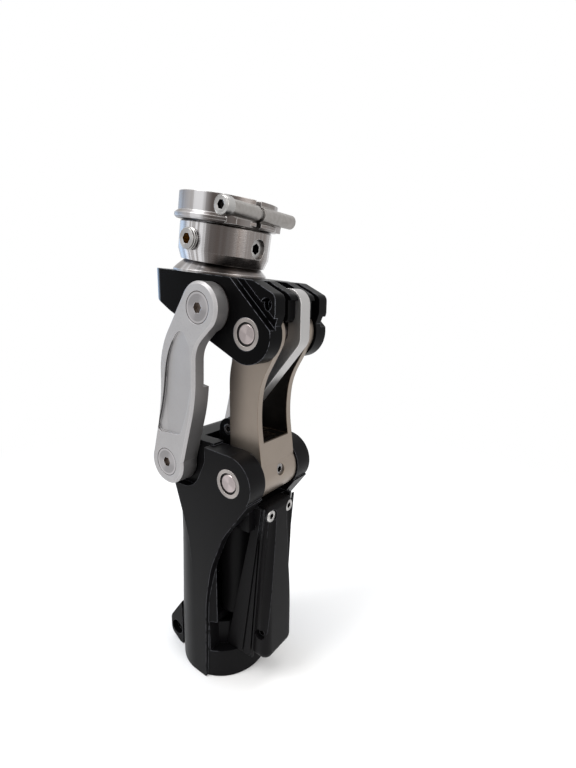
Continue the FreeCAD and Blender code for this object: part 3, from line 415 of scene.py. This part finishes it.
def blasted(name, colour, rough):
    """Even grey, a darker panel, painted shade on the sides, a painted shadow line on the panel's
    front wall and painted highlights on the edges.
    """
    finish = Finish(name)
    where = place_of(finish)
    rounded, edge = edge_mask(finish, EDGE_ROUND)
    grain = noise(finish, where, BEAD_SIZE, detail=3.0)
    speck = noise(finish, where, SPECK_SIZE).over(0.60, width=0.10)
    cloud = noise(finish, where, SILVER_CLOUD_SIZE)
    facing = facing_of(finish)
    lengthwise, sideways = facing[0].size(), facing[1].size()
    inward = LINK_OUTSIDE - parts_of(finish, where)[1].size()
    side = sideways.under(SIDE_FACING, width=0.7) * inward.over(LIT_RIM, width=0.3)
    sunk = lengthwise.over(PANEL_LEAN, width=0.02) * sideways.over(PANEL_FACING, width=0.01)
    wall = lengthwise.over(WALL_FACING, width=0.06) * inward.under(PANEL_RIM, width=0.1)
    tint = patchy(finish, cloud * 0.6 + grain * 0.4, colour, darkest=0.84, lightest=1.06)
    # Painted shade on the narrow sides, painted highlight on the edges, painted shadow line on the
    # panel's front wall.
    for mask, share, tone in ((speck, 0.18, 0.6), (side, 0.66, 0.40), (sunk, 0.45, 0.80),
                              (edge, 0.6, 1.4), (wall, 0.85, 0.10)):
        tint = laid_on(finish, tint, mask, share, toned(colour, tone))
    return finish.shade(base_color=tint, metallic=SILVER_METAL, roughness=grain * 0.12 + rough,
                        normal=bumped(finish, grain, BLASTED_DEPTH, rounded))


dress(blasted("silver_anodising", SILVER, SILVER_ROUGH), "front_link_near", "front_link_far")


# Rear link
# Titanium fork, milled and then lightly brushed along its length. It is a warm grey with a
# faint bronze cast, darkened almost to black inside the window between its two arms.
TITANIUM = (0.265, 0.225, 0.190, 1)
TITANIUM_SHADE = (0.090, 0.074, 0.062, 1)
TITANIUM_EDGE = (0.135, 0.092, 0.058, 1)
BRUSHED_METAL = 0.9
BRUSHED_CLOUD_SIZE = 12.0
WINDOW_BLACK = 0.09
WINDOW_SIDE = 8.65
WINDOW_FOOT = 120.9
WINDOW_TOP = 158.0


def window_inside(x, y, z):
    """Between the two arms and above the window's foot, fading out upwards."""
    return (y.size().under(WINDOW_SIDE, width=0.2) * z.over(WINDOW_FOOT, width=0.4)
            * z.under(WINDOW_TOP, width=8.0))


def brushed(name, colour, shadow, edge_colour, rough, depth, lay, fade, darkened_inside=None):
    """Brush lines, and a slow fade from the shadow colour at x = fade[0] to none at fade[1]."""
    finish = Finish(name)
    where = place_of(finish)
    place = parts_of(finish, where)
    rounded, edge = edge_mask(finish, EDGE_ROUND)
    lines = brush_marks(finish, where, lay)
    cloud = noise(finish, where, BRUSHED_CLOUD_SIZE)
    forward = place[0].under((fade[0] + fade[1]) / 2, width=fade[1] - fade[0])
    tint = patchy(finish, lines * 0.45 + cloud * 0.55, colour, darkest=0.82, lightest=1.10)
    tint = laid_on(finish, tint, forward, 0.85, shadow)
    # Darkened almost to black inside the window between the arms.
    if darkened_inside:
        tint = laid_on(finish, tint, darkened_inside(*place), 0.93, toned(shadow, WINDOW_BLACK))
    # Edge colour laid on the edges; on the strap it is a painted highlight.
    tint = laid_on(finish, tint, edge, 0.7, edge_colour)
    return finish.shade(base_color=tint, metallic=BRUSHED_METAL, roughness=lines * 0.12 + rough,
                        normal=bumped(finish, lines, depth, rounded))


dress(brushed("brushed_titanium", TITANIUM, TITANIUM_SHADE, TITANIUM_EDGE, rough=0.30,
              depth=0.000007, lay=(6.0, 6.0, 0.25), fade=(14.0, 27.0), darkened_inside=window_inside),
      "rear_link")


# Connecting strap
# Flat aluminium bar with a hooked top, ground on its faces and left bright. It hangs on the
# strap pin between the head's two fins.
STRAP = (0.42, 0.41, 0.405, 1)

# Its edge colour is a painted highlight, and its shadow colour is painted shade towards the front.
dress(brushed("ground_aluminium", STRAP, toned(STRAP, 0.6), toned(STRAP, 1.7), rough=0.28,
              depth=0.000006, lay=(5.0, 5.0, 0.4), fade=(2.0, 30.0)),
      "connecting_strap")


# Receiver, dome and clamp ring
# Stainless steel turned on a lathe, so fine rings run round each piece's own leaning axis. Long
# upright streaks of light and dark are painted reflection, and the edges a painted highlight. The
# barrel is left matte.
HEAD_LEAN = math.radians(6.3)
ADAPTER_LEAN = math.radians(9.9)
HEAD_TOP = (0.0, 191.1)
SPHERE_CENTRE = (-1.84, 174.41)
BARREL_CENTRE = (25.8, 213.2)
BARREL_R = 3.3
BARREL_GRAIN_SIZE = 1.6
BARREL_DARK = (0.22, 0.205, 0.195, 1)
BARREL_LIGHT = (0.36, 0.345, 0.33, 1)
STEEL_LIGHT_REFLECTION = (0.66, 0.65, 0.66, 1)
STEEL_EDGE = (0.72, 0.71, 0.70, 1)
STEEL_GREY = (0.27, 0.255, 0.25, 1)
STEEL_DARK_REFLECTION = (0.060, 0.049, 0.045, 1)
STEEL_WARM = (0.165, 0.138, 0.125, 1)
REFLECTION_FOLDS = 3
DARK_REFLECTION_ANGLE = math.radians(147)
LIGHT_REFLECTION_ANGLE = math.radians(174)
REFLECTION_STREAK_START = 3.7
TURNED_DEPTH = 0.000009


def lines_along(finish, value, detail):
    """Lines that follow one another as a value grows, about one to each unit."""
    return finish.node("TexNoise", {"noise_dimensions": "1D"},
                       {"W": value, "Scale": 1.0, "Detail": detail})


def from_line(finish, where, centre):
    """Vector to a point from the line across the knee through centre, in x and z."""
    offset = finish.vectors("SUBTRACT", where, (centre[0], 0, centre[1]))
    return finish.vectors("MULTIPLY", offset, (1, 0, 1))


def folded(angle, middle):
    """Wave round an axis with its crests at the middle angle and at equal steps from it."""
    return (angle * REFLECTION_FOLDS - middle * REFLECTION_FOLDS).math("COSINE")


def turned(name, lean, origin, pitch, bright, streaks, rough, matte_barrel=False):
    """Lathe-turned steel about an axis through origin that leans to the rear, with painted
    reflection streaks round it.
    """
    finish = Finish(name)
    where = place_of(finish)
    offset = finish.vectors("SUBTRACT", where, (origin[0], 0, origin[1]))
    axis = (math.sin(lean), 0, math.cos(lean))
    across = (math.cos(lean), 0, -math.sin(lean))
    height = finish.vectors("DOT_PRODUCT", offset, axis, output=1)
    outward = finish.vectors("DOT_PRODUCT", offset, across, output=1)
    angle = outward.math("ARCTAN2", parts_of(finish, where)[1])
    rings = lines_along(finish, height * (1.0 / pitch), detail=3.0)
    reflection_streak = lines_along(finish, angle * streaks + REFLECTION_STREAK_START, detail=4.0)
    # Painted reflection: dark and light bands at fixed angles round the axis, broken by streaks.
    dark = folded(angle, DARK_REFLECTION_ANGLE).over(0.45, width=0.9)
    light = folded(angle, LIGHT_REFLECTION_ANGLE).over(0.66, width=0.5)
    broken = reflection_streak.over(0.50, width=0.10) * 0.6 + 0.4
    rounded, edge = edge_mask(finish, EDGE_ROUND)
    tint = finish.blend(reflection_streak.over(0.50, width=0.40) * 0.7 + rings * 0.3, STEEL_WARM,
                        toned(STEEL_GREY, bright))
    tint = laid_on(finish, tint, dark, 0.8, STEEL_DARK_REFLECTION)
    tint = laid_on(finish, tint, light, broken, toned(STEEL_LIGHT_REFLECTION, bright))
    # Painted highlight on the edges.
    tint = laid_on(finish, tint, edge, 0.6, STEEL_EDGE)
    if matte_barrel:
        reach = finish.vectors("LENGTH", from_line(finish, where, BARREL_CENTRE), output=1)
        matte = finish.blend(noise(finish, where, BARREL_GRAIN_SIZE, detail=4.0), BARREL_DARK,
                             BARREL_LIGHT)
        tint = finish.blend(reach.under(BARREL_R, width=0.4), tint, matte)
    return finish.shade(base_color=tint, metallic=1.0, roughness=rings * 0.14 + rough,
                        normal=bumped(finish, rings, TURNED_DEPTH, rounded))


dress(turned("turned_receiver", ADAPTER_LEAN, SPHERE_CENTRE, pitch=0.22, bright=1.0, streaks=9.0,
             rough=0.20),
      "receiver_collar")
dress(turned("turned_dome", HEAD_LEAN, HEAD_TOP, pitch=0.30, bright=0.75, streaks=3.0, rough=0.24),
      "pyramid_dome", "pyramid_bolt")
dress(turned("clamp_ring_steel", ADAPTER_LEAN, SPHERE_CENTRE, pitch=0.35, bright=0.85, streaks=4.0,
             rough=0.32, matte_barrel=True),
      "socket_clamp_ring")


# Axles, bushes and pins
# Ground steel with fine lathe rings on each end face, set in bushes of the same steel with
# a black rubber ring between the two. The rubber keeps grease in and grit out.
PIN = (0.36, 0.315, 0.312, 1)
BUSH = (0.30, 0.275, 0.262, 1)
RUBBER_DARK = (0.004, 0.004, 0.004, 1)
RUBBER_LIGHT = (0.014, 0.013, 0.013, 1)
RUBBER_GRAIN_SIZE = 0.4
RUBBER_DEPTH = 0.00002
POLYMER_DARK = (0.10, 0.10, 0.10, 1)
POLYMER_LIGHT = (0.20, 0.195, 0.19, 1)
POLYMER_GRAIN_SIZE = 0.3
PIN_ROUGH = 0.26
BUSH_ROUGH = 0.30
PIN_EDGE_ROUND = 0.00022
PIN_GRAIN_SIZE = 0.5
PIN_DEPTH = 0.000012
REFLECTION_TURN = 0.9
SEAL_INNER = 4.06
SEAL_OUTER = 4.64
SEAL_THICK = 0.55
UPPER_SEAL_FACE = 18.42
LOWER_SEAL_FACE = 20.62
RING_STEPS = 72
SECTION_STEPS = 12
CREASE = math.radians(32)


def pivot(joint_name):
    """Place of a joint's axis as x and z in millimetres."""
    place = next(joint["pos_m"] for joint in frame["joints"] if joint["name"] == joint_name)
    return place[0] * 1000.0, place[2] * 1000.0


def reflection_sectors(angle):
    """The two opposite sectors of a turned face that get a painted reflection."""
    return (angle * 2.0 + REFLECTION_TURN).math("COSINE").over(0.35, width=1.3)


def faced(name, colour, centre, rough, pitch=0.30):
    """End faces turned in fine rings about an axis across the knee, with a painted reflection in
    two sectors and painted highlights on the edges.
    """
    finish = Finish(name)
    where = place_of(finish)
    rounded, edge = edge_mask(finish, PIN_EDGE_ROUND)
    spoke = from_line(finish, where, centre)
    x, _, z = parts_of(finish, spoke)
    radius = finish.vectors("LENGTH", spoke, output=1)
    rings = lines_along(finish, radius * (1.0 / pitch), detail=2.0)
    grain = noise(finish, where, PIN_GRAIN_SIZE, detail=3.0)
    tint = patchy(finish, rings * 0.5 + grain * 0.5, colour, darkest=0.72, lightest=1.12)
    # Painted reflection in two sectors, then a painted highlight on the edges.
    tint = laid_on(finish, tint, reflection_sectors(x.math("ARCTAN2", z)), 0.5, toned(colour, 1.45))
    tint = laid_on(finish, tint, edge, 0.6, toned(colour, 2.0))
    return finish.shade(base_color=tint, metallic=1.0, roughness=grain * 0.12 + rough,
                        normal=bumped(finish, rings * 0.8 + grain * 0.2, PIN_DEPTH, rounded))


def skin(name, rows, body, material, around=True):
    """Piece whose surface joins rows of points, each row a closed outline."""
    count = len(rows[0])
    points = [tuple(c / 1000.0 for c in point) for row in rows for point in row]
    last = len(rows) if around else len(rows) - 1
    faces = [(i * count + j, i * count + (j + 1) % count,
              (i + 1) % len(rows) * count + (j + 1) % count, (i + 1) % len(rows) * count + j)
             for i in range(last) for j in range(count)]
    if not around:
        faces.append(tuple(reversed(range(count))))
        faces.append(tuple(range((len(rows) - 1) * count, len(rows) * count)))
    mesh = bpy.data.meshes.new(name)
    mesh.from_pydata(points, [], faces)
    mesh.materials.append(material)
    mesh.polygons.foreach_set("use_smooth", [True] * len(mesh.polygons))
    mesh.set_sharp_from_angle(angle=CREASE)
    piece = bpy.data.objects.new(name, mesh)
    bpy.context.scene.collection.objects.link(piece)
    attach(piece, body)


def seal_ring(name, centre, y, body, material):
    """Ring across the knee with a rounded section."""
    middle = (SEAL_INNER + SEAL_OUTER) / 2
    half = (SEAL_OUTER - SEAL_INNER) / 2
    section = [(middle + half * math.cos(a), y + SEAL_THICK / 2 + SEAL_THICK / 2 * math.sin(a))
               for a in (2 * math.pi * k / SECTION_STEPS for k in range(SECTION_STEPS))]
    rows = []
    for k in range(RING_STEPS):
        turn = 2 * math.pi * k / RING_STEPS
        rows.append([(centre[0] + r * math.cos(turn), at, centre[1] + r * math.sin(turn))
                     for r, at in section])
    skin(name, rows, body, material)


rubber = Finish("black_rubber")
rubber_grain = noise(rubber, place_of(rubber), RUBBER_GRAIN_SIZE)
rubber_normal = bumped(rubber, rubber_grain, RUBBER_DEPTH, rubber.node("NewGeometry", output=1))
soft_black = rubber.shade(base_color=rubber.blend(rubber_grain, RUBBER_DARK, RUBBER_LIGHT),
                          roughness=rubber_grain * 0.2 + 0.6, normal=rubber_normal,
                          specular_ior_level=0.2)
dress(soft_black, "rod_seal", "piston_ring")

UPPER_PIVOT = pivot("knee_flexion")
for spot, centre, face, body in (("upper", UPPER_PIVOT, UPPER_SEAL_FACE, "head"),
                                 ("lower", pivot("rear_link_swing"), LOWER_SEAL_FACE, "shank")):
    dress(faced(spot + "_axle_steel", PIN, centre, PIN_ROUGH), spot + "_axle")
    dress(faced(spot + "_bush_steel", BUSH, centre, BUSH_ROUGH, pitch=0.2),
          spot + "_bush_near", spot + "_bush_far")
    seal_ring(spot + "_axle_seal_near", centre, -face - SEAL_THICK, body, soft_black)
    seal_ring(spot + "_axle_seal_far", centre, face, body, soft_black)
dress(faced("pin_steel", PIN, UPPER_PIVOT, PIN_ROUGH), "strap_pin", "piston_rod", "piston",
      "barrel_sleeve", *(name for name in nodes if "_washer_" in name))

polymer = Finish("bearing_polymer")
polymer_grain = noise(polymer, place_of(polymer), POLYMER_GRAIN_SIZE, detail=3.0)
dress(polymer.shade(base_color=polymer.blend(polymer_grain, POLYMER_DARK, POLYMER_LIGHT),
                    roughness=polymer_grain * 0.2 + 0.5),
      *(name for name in nodes if name.startswith("front_") and "_bush_" in name))


# Screws
# Steel screws with turned faces and hexagon sockets. Their colours carry painted light: lit and
# shaded copies of one steel, reflections in two sectors, bright rims and edges, and light and shade
# inside the sockets.
# The two clamp screws have knurled heads, and the receiver's set screws show their thread where
# they stand out of the steel.
SCREW = (0.30, 0.288, 0.285, 1)
BOLT = (0.365, 0.350, 0.354, 1)
# A lighter and a darker copy of the screw steel: painted light on screws facing the lamps, painted
# shade on deep-set and shaded ones.
SCREW_LIT = (0.46, 0.45, 0.44, 1)
SCREW_SHADED = (0.035, 0.034, 0.036, 1)
SOCKET_BLACK = (0.045, 0.040, 0.038, 1)
SOCKET_STEEL = (0.30, 0.262, 0.235, 1)
SOCKET_BRONZE = (0.42, 0.30, 0.13, 1)
NEAR, FAR, REAR = (0, -1, 0), (0, 1, 0), (1, 0, 0)
COLLAR_REAR = (math.cos(ADAPTER_LEAN), 0, -math.sin(ADAPTER_LEAN))
COLLAR_FRONT = (-math.cos(ADAPTER_LEAN), 0, math.sin(ADAPTER_LEAN))
HEX_CORNER = 1 / math.sqrt(3)
BOLT_HEX = 4.0
SET_HEX = 4.0
CAP_HEX = 3.2
SMALL_HEX = 2.5
BLOCK_HEX = 2.4
BOLT_R = 6.02
SET_R = 4.0
VALVE_R = 2.2
NO_SEAT_R = 1.0
SCREWS = (
    ("front_top_bolt_near", NEAR, BOLT_HEX, BOLT_R, BOLT, SOCKET_STEEL),
    ("front_top_bolt_far", FAR, BOLT_HEX, BOLT_R, BOLT, SOCKET_STEEL),
    ("front_foot_bolt_near", NEAR, BOLT_HEX, BOLT_R, BOLT, SOCKET_STEEL),
    ("front_foot_bolt_far", FAR, BOLT_HEX, BOLT_R, BOLT, SOCKET_STEEL),
    ("collar_screw_near", NEAR, SET_HEX, SET_R, SCREW_LIT, SOCKET_BRONZE),
    ("collar_screw_far", FAR, SET_HEX, SET_R, SCREW, SOCKET_BRONZE),
    ("collar_screw_rear", COLLAR_REAR, SET_HEX, SET_R, SCREW_LIT, SOCKET_BLACK),
    ("collar_screw_front", COLLAR_FRONT, SET_HEX, SET_R, SCREW, SOCKET_BLACK),
    ("socket_clamp_screw", NEAR, CAP_HEX, NO_SEAT_R, SCREW_LIT, SOCKET_BLACK),
    ("tube_clamp_screw", NEAR, CAP_HEX, NO_SEAT_R, SCREW_SHADED, SOCKET_BLACK),
    ("block_screw_near", REAR, BLOCK_HEX, NO_SEAT_R, SCREW_LIT, SOCKET_BLACK),
    ("block_screw_far", REAR, BLOCK_HEX, NO_SEAT_R, SCREW_LIT, SOCKET_BLACK),
    ("extension_valve", NEAR, SMALL_HEX, VALVE_R, SCREW_SHADED, SOCKET_BLACK),
    ("flexion_valve", FAR, SMALL_HEX, VALVE_R, SCREW_SHADED, SOCKET_BLACK),
    ("axle_lock_screw", REAR, SMALL_HEX, VALVE_R, SCREW, SOCKET_BLACK),
    ("fork_screw_near", NEAR, SMALL_HEX, NO_SEAT_R, SCREW, SOCKET_BLACK),
    ("fork_screw_far", FAR, SMALL_HEX, NO_SEAT_R, SCREW, SOCKET_BLACK),
)
FACE_DEPTH = 0.02
SCREW_RINGS = 3.2
SCREW_GRAIN_SIZE = 0.4
SCREW_ROUGH = 0.25
SCREW_DEPTH = 0.000010
RIM_WIDTH = 0.75
SEAT_DEPTH = 0.30
SOCKET_DEPTH = 0.22
SOCKET_LIP = 0.12
CAP_HEAD_R = 3.5
KNURLS = 36
KNURL_HEIGHT = 0.11
KNURL_GROOVE = 0.01
KNURL_LIP = 0.02
KNURL_SUNK = 0.10
KNURL_ALONG = (0.15, 0.12, 0.35, 3.4, 3.6, 3.55)
CLAMP_SCREW_FACE = (BARREL_CENTRE[0], -25.0, BARREL_CENTRE[1])
TUBE_SCREW_FACE = (-21.4, -12.4, 8.0)
THREAD_PITCH = 0.95
THREAD_HEIGHT = 0.46
THREAD_TURNS = 1.85
THREAD_SUNK = 0.08
THREAD_START = 0.50
THREAD_TAPER = 6.0
THREAD_TIP = 0.02
THREAD_CREST = 0.10
THREAD_FLANK = 0.30 * THREAD_PITCH
NEAR_THREAD_END = (3.27, -21.8, 203.71)
FRONT_THREAD_END = (-18.1, 0, 207.4)


def end_of(name, axis):
    """Middle of a screw's end face, the points that lie farthest along its axis."""
    points = [point.co * 1000.0 for point in nodes[name].data.vertices]
    end = max(point.dot(axis) for point in points) - FACE_DEPTH
    face = [point for point in points if point.dot(axis) > end]
    return tuple((min(values) + max(values)) / 2 for values in zip(*face))


def screw_finish(name, axis, across_flats, seat_r, colour, socket_colour):
    """Turned about the screw's axis, with painted light and shade in its socket, a dark line where
    it seats, and a painted reflection and highlights.
    """
    finish = Finish(name + "_steel")
    where = place_of(finish)
    axis = Vector(axis)
    offset = finish.vectors("SUBTRACT", where, end_of(name, axis))
    depth = finish.vectors("DOT_PRODUCT", offset, axis, output=1)
    spoke = finish.vectors("CROSS_PRODUCT", offset, axis)
    radius = finish.vectors("LENGTH", spoke, output=1)
    rounded, edge = edge_mask(finish, PIN_EDGE_ROUND)
    rings = lines_along(finish, radius * SCREW_RINGS, detail=2.0)
    grain = noise(finish, where, SCREW_GRAIN_SIZE, detail=3.0)
    x, y, z = parts_of(finish, spoke)
    sector_reflection = reflection_sectors((x + y).math("ARCTAN2", z))
    if seat_r > SET_R:
        rim_highlight = radius.over(seat_r - RIM_WIDTH, width=0.2)
        seat = radius.over(seat_r + 0.05, width=0.10)
    else:
        rim_highlight = edge
        seat = depth.under(-SEAT_DEPTH, width=0.1) * radius.under(seat_r + 0.10, width=0.08)
    corner = across_flats * HEX_CORNER + SOCKET_LIP
    socket = depth.under(-SOCKET_DEPTH, width=0.2) * radius.under(corner, width=0.1)
    tint = patchy(finish, rings * 0.6 + grain * 0.4, colour, darkest=0.70, lightest=1.20)
    # Painted reflection in two sectors, then painted highlights on edge and rim, and painted light
    # and shade in the socket.
    tint = finish.blend(sector_reflection * 0.6 + 0.4, toned(colour, 0.55), tint)
    for mask, share, tone in ((edge, 0.6, toned(colour, 1.9)), (rim_highlight, 0.5, toned(colour, 1.45)),
                              (seat, 0.85, SOCKET_BLACK), (socket, 0.9, socket_colour)):
        tint = laid_on(finish, tint, mask, share, tone)
    return finish.shade(base_color=tint, metallic=1.0, roughness=grain * 0.14 + SCREW_ROUGH,
                        normal=bumped(finish, rings * 0.8 + grain * 0.2, SCREW_DEPTH, rounded))


def knurled_head(name, face, body, material):
    """Sleeve of fine ridges round a cap screw's head, along the knee's width."""
    inner, lip = CAP_HEAD_R - KNURL_SUNK, CAP_HEAD_R - KNURL_LIP
    rows = []
    for k in range(2 * KNURLS):
        turn = math.pi * k / KNURLS
        crest = CAP_HEAD_R + (KNURL_HEIGHT if k % 2 else KNURL_GROOVE)
        radii = (inner, lip, crest, crest, lip, inner)
        rows.append([(face[0] + r * math.cos(turn), face[1] + along, face[2] + r * math.sin(turn))
                     for r, along in zip(radii, KNURL_ALONG)])
    skin(name, rows, body, material)


def thread(name, face, axis, body, material):
    """Ridge that winds down a set screw from just below its end."""
    out = Vector(axis).normalized()
    aside = out.orthogonal().normalized()
    across = out.cross(aside)
    rows = []
    for k in range(int(THREAD_TURNS * RING_STEPS) + 1):
        wound = k / RING_STEPS
        turn = 2 * math.pi * wound
        taper = min(1.0, THREAD_TAPER * wound, THREAD_TAPER * (THREAD_TURNS - wound) + THREAD_TIP)
        crest = THREAD_HEIGHT * taper
        down = THREAD_START + THREAD_PITCH * wound
        outward = aside * math.cos(turn) + across * math.sin(turn)
        section = ((-THREAD_SUNK, -THREAD_FLANK), (crest, -THREAD_CREST), (crest, THREAD_CREST),
                   (-THREAD_SUNK, THREAD_FLANK))
        rows.append([Vector(face) + outward * (SET_R + lift) - out * (down + drop)
                     for lift, drop in section])
    skin(name, rows, body, material, around=False)


screw_steel = {}
for name, *sizes in SCREWS:
    screw_steel[name] = screw_finish(name, *sizes)
    dress(screw_steel[name], name)
knurled_head("clamp_screw_knurl", CLAMP_SCREW_FACE, "head", screw_steel["socket_clamp_screw"])
knurled_head("tube_screw_knurl", TUBE_SCREW_FACE, "shank", screw_steel["tube_clamp_screw"])
thread("near_screw_thread", NEAR_THREAD_END, NEAR, "head", screw_steel["collar_screw_near"])
thread("front_screw_thread", FRONT_THREAD_END, COLLAR_FRONT, "head",
       screw_steel["collar_screw_front"])
